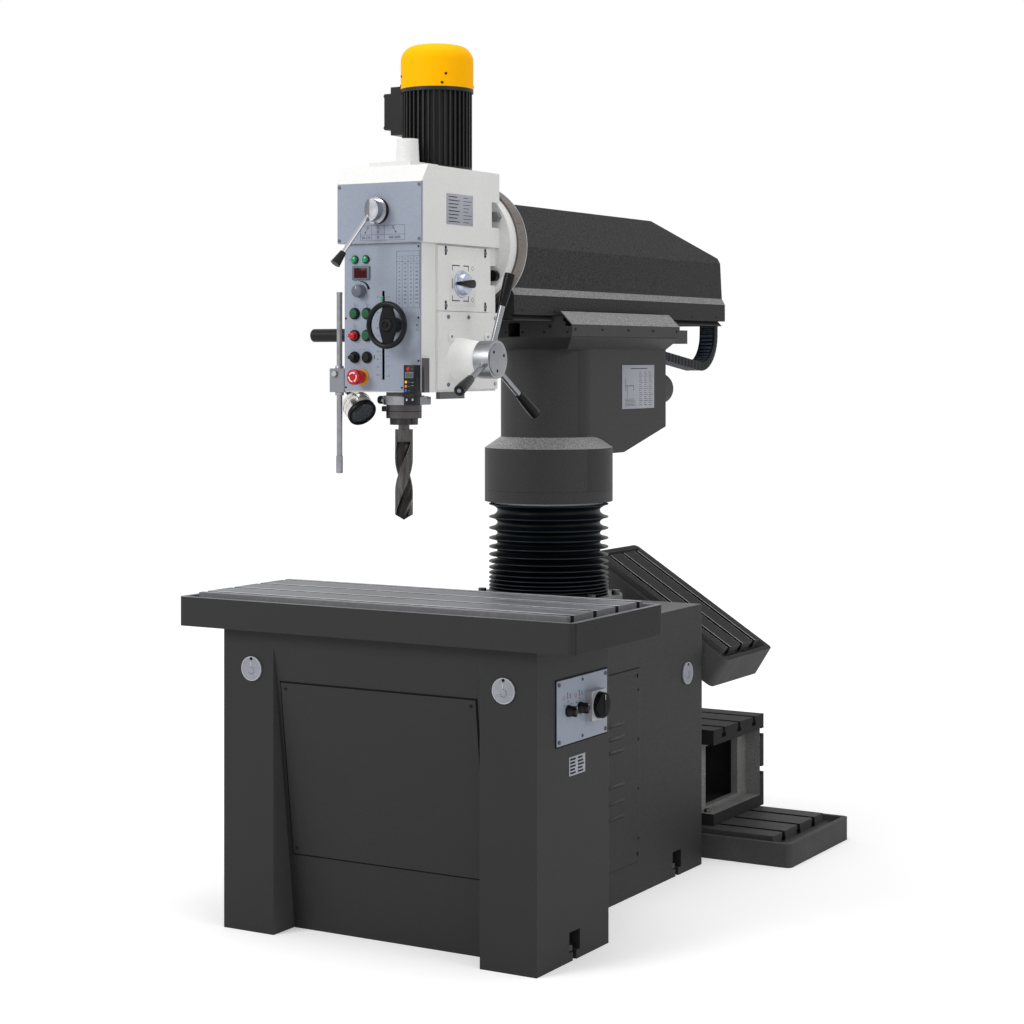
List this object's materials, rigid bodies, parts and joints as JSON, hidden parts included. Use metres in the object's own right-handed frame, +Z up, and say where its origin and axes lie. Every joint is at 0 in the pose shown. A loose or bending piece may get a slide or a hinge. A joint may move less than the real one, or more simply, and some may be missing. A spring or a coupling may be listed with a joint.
{
  "type": "universal drilling machine",
  "caption": "Floor-standing drilling machine: slotted pedestal table, column lifting in a bellows, swinging arm with a sliding ram, tilting geared drill head with a feed wheel, tables behind.",
  "frame": {"origin": "on the axis of the column, at floor level, on the underside of the base's foot plate", "axes": "+X to the right side with the pilot wheel, -Y to the front with the controls, +Z up along the column"},
  "size_m": [1.208, 1.9613, 2.354],
  "materials": {
    "machine_paint": "textured dark grey paint on cast iron",
    "cover_paint": "textured dark grey paint on sheet",
    "table_iron": "machined top, painted sides",
    "zinc_steel": "zinc plated",
    "machined_steel": "turned and ground",
    "motor_paint": "satin black paint",
    "fan_paint": "gloss yellow paint",
    "head_paint": "textured off-white paint on cast iron",
    "panel_paint": "satin light grey paint",
    "bellows_rubber": "matt",
    "black_plastic": "fine grain",
    "bright_chrome": "polished",
    "drill_steel": "ground",
    "green_plastic": "gloss",
    "red_plastic": "gloss"
  },
  "bodies": {
    "base": {"base_casting": "machine_paint", "work_table": "table_iron", "access_covers": "cover_paint", "lifting_covers": "zinc_steel", "switch_panel": "panel_paint", "base_fasteners": "zinc_steel", "column_guide": "machined_steel", "lift_motor": "motor_paint", "bellows": "bellows_rubber", "tilt_bracket": "machine_paint", "floor_plate": "table_iron", "box_table": "table_iron"},
    "column": {"column": "machined_steel", "swing_bearing": "machined_steel"},
    "saddle": {"saddle": "machine_paint", "slide_guards": "cover_paint", "clamp_unit": "machine_paint", "cable_chain": "black_plastic"},
    "ram": {"ram_beam": "machine_paint", "ram_hood": "cover_paint", "swivel_ring": "machined_steel"},
    "head": {"head_casting": "head_paint", "gearbox_housing": "head_paint", "gearbox_panel": "panel_paint", "control_panel": "panel_paint", "panel_fittings": "black_plastic", "feed_cover": "head_paint", "motor_frame": "motor_paint", "fan_cover": "fan_paint", "spindle_cap": "head_paint", "head_fasteners": "zinc_steel", "side_handle": "black_plastic", "head_brackets": "panel_paint"},
    "quill": {"quill": "machined_steel", "quill_clamp": "bright_chrome", "depth_gauge": "black_plastic"},
    "spindle": {"spindle": "machined_steel", "drill": "drill_steel"},
    "lift_pinion": {"lift_pinion": "machined_steel"},
    "spindle_gear": {"spindle_gear": "machined_steel"},
    "layshaft": {"layshaft": "machined_steel"},
    "motor_rotor": {"motor_rotor": "motor_paint"},
    "pilot_wheel": {"pilot_wheel": "bright_chrome"},
    "fine_feed_wheel": {"fine_feed_wheel": "black_plastic"},
    "speed_lever": {"speed_lever": "bright_chrome"},
    "feed_selector": {"feed_selector": "black_plastic"},
    "speed_knob": {"speed_knob": "black_plastic"},
    "start_button": {"start_button": "green_plastic"},
    "reverse_button": {"reverse_button": "green_plastic"},
    "tapping_button": {"tapping_button": "green_plastic"},
    "stop_button": {"stop_button": "black_plastic"},
    "mode_selector": {"mode_selector": "red_plastic"},
    "light_selector": {"light_selector": "black_plastic"},
    "emergency_stop": {"emergency_stop": "red_plastic"},
    "guard_rod": {"guard_rod": "bright_chrome"},
    "work_lamp": {"work_lamp": "bright_chrome"},
    "main_switch": {"main_switch": "red_plastic"},
    "left_switch": {"left_switch": "black_plastic"},
    "right_switch": {"right_switch": "black_plastic"},
    "tilt_table": {"tilt_table": "table_iron"}
  },
  "joints": [
    {"name": "column_lift", "type": "slide", "parent": "base", "child": "column", "axis": [0, 0, 1], "range_m": [0, 0.42], "deforming": ["bellows"]},
    {"name": "lift_pinion_turn", "type": "hinge", "parent": "base", "child": "lift_pinion", "pos_m": [0, 0.143, 0.7], "axis": [1, 0, 0], "range_deg": [-860, 0]},
    {"name": "arm_swing", "type": "hinge", "parent": "column", "child": "saddle", "pos_m": [0, 0, 1.3], "axis": [0, 0, 1], "range_deg": [-180, 180]},
    {"name": "ram_slide", "type": "slide", "parent": "saddle", "child": "ram", "axis": [0, 1, 0], "range_m": [-0.246, 0.25]},
    {"name": "head_swivel", "type": "hinge", "parent": "ram", "child": "head", "pos_m": [0, -0.47, 1.824], "axis": [0, 1, 0], "range_deg": [-90, 90]},
    {"name": "quill_feed", "type": "slide", "parent": "head", "child": "quill", "axis": [0, 0, -1], "range_m": [0, 0.15]},
    {"name": "pilot_turn", "type": "hinge", "parent": "head", "child": "pilot_wheel", "pos_m": [0.2, -0.701, 1.515], "axis": [1, 0, 0], "range_deg": [0, 286.6]},
    {"name": "spindle_spin", "type": "hinge", "parent": "quill", "child": "spindle", "pos_m": [0, -0.774, 1.4], "axis": [0, 0, 1], "continuous": true},
    {"name": "spindle_gear_turn", "type": "hinge", "parent": "head", "child": "spindle_gear", "pos_m": [0, -0.774, 1.9], "axis": [0, 0, 1], "continuous": true},
    {"name": "layshaft_turn", "type": "hinge", "parent": "head", "child": "layshaft", "pos_m": [0, -0.69275, 1.9], "axis": [0, 0, 1], "continuous": true},
    {"name": "motor_turn", "type": "hinge", "parent": "head", "child": "motor_rotor", "pos_m": [0, -0.6115, 2.1], "axis": [0, 0, 1], "continuous": true},
    {"name": "fine_feed_turn", "type": "hinge", "parent": "head", "child": "fine_feed_wheel", "pos_m": [0.048, -0.9, 1.603], "axis": [0, 1, 0], "continuous": true},
    {"name": "speed_lever_swing", "type": "hinge", "parent": "head", "child": "speed_lever", "pos_m": [-0.003, -0.9, 1.897], "axis": [0, -1, 0], "range_deg": [0, 43]},
    {"name": "feed_selector_turn", "type": "hinge", "parent": "head", "child": "feed_selector", "pos_m": [0.14, -0.691, 1.713], "axis": [1, 0, 0], "range_deg": [0, 90]},
    {"name": "speed_knob_turn", "type": "hinge", "parent": "head", "child": "speed_knob", "pos_m": [-0.065, -0.89, 1.692], "axis": [0, 1, 0], "range_deg": [0, 270]},
    {"name": "mode_selector_turn", "type": "hinge", "parent": "head", "child": "mode_selector", "pos_m": [-0.083, -0.88, 1.577], "axis": [0, 1, 0], "range_deg": [0, 90]},
    {"name": "light_selector_turn", "type": "hinge", "parent": "head", "child": "light_selector", "pos_m": [-0.083, -0.88, 1.521], "axis": [0, 1, 0], "range_deg": [0, 90]},
    {"name": "start_press", "type": "slide", "parent": "head", "child": "start_button", "axis": [0, 1, 0], "range_m": [0, 0.004], "stiffness_N_per_m": 800},
    {"name": "reverse_press", "type": "slide", "parent": "head", "child": "reverse_button", "axis": [0, 1, 0], "range_m": [0, 0.004], "stiffness_N_per_m": 800},
    {"name": "tapping_press", "type": "slide", "parent": "head", "child": "tapping_button", "axis": [0, 1, 0], "range_m": [0, 0.004], "stiffness_N_per_m": 800},
    {"name": "stop_press", "type": "slide", "parent": "head", "child": "stop_button", "axis": [0, 1, 0], "range_m": [0, 0.004], "stiffness_N_per_m": 800},
    {"name": "emergency_stop_press", "type": "slide", "parent": "head", "child": "emergency_stop", "axis": [0, 1, 0], "range_m": [0, 0.005], "stiffness_N_per_m": 1500},
    {"name": "guard_rod_slide", "type": "slide", "parent": "head", "child": "guard_rod", "axis": [0, 0, 1], "range_m": [-0.15, 0.15]},
    {"name": "lamp_swing", "type": "hinge", "parent": "head", "child": "work_lamp", "pos_m": [-0.18, -0.771, 1.431], "axis": [0, 1, 0], "range_deg": [0, 35]},
    {"name": "main_switch_turn", "type": "hinge", "parent": "base", "child": "main_switch", "pos_m": [0.51, -0.636, 0.634], "axis": [1, 0, 0], "range_deg": [0, 90]},
    {"name": "left_switch_turn", "type": "hinge", "parent": "base", "child": "left_switch", "pos_m": [0.485, -0.762, 0.634], "axis": [1, 0, 0], "range_deg": [0, 90]},
    {"name": "right_switch_turn", "type": "hinge", "parent": "base", "child": "right_switch", "pos_m": [0.485, -0.7, 0.634], "axis": [1, 0, 0], "range_deg": [0, 90]},
    {"name": "table_tilt", "type": "hinge", "parent": "base", "child": "tilt_table", "pos_m": [0, 0.43, 0.554], "axis": [0, 1, 0], "range_deg": [-77.3, 12.7]}
  ],
  "couplings": [
    {"joint": "lift_pinion_turn", "follows": "column_lift", "rad_per_m": -35.714},
    {"joint": "pilot_turn", "follows": "quill_feed", "rad_per_m": 33.333},
    {"joint": "spindle_gear_turn", "follows": "spindle_spin", "ratio": 1},
    {"joint": "layshaft_turn", "follows": "spindle_spin", "ratio": -1.6},
    {"joint": "motor_turn", "follows": "spindle_spin", "ratio": 3.6}
  ]
}
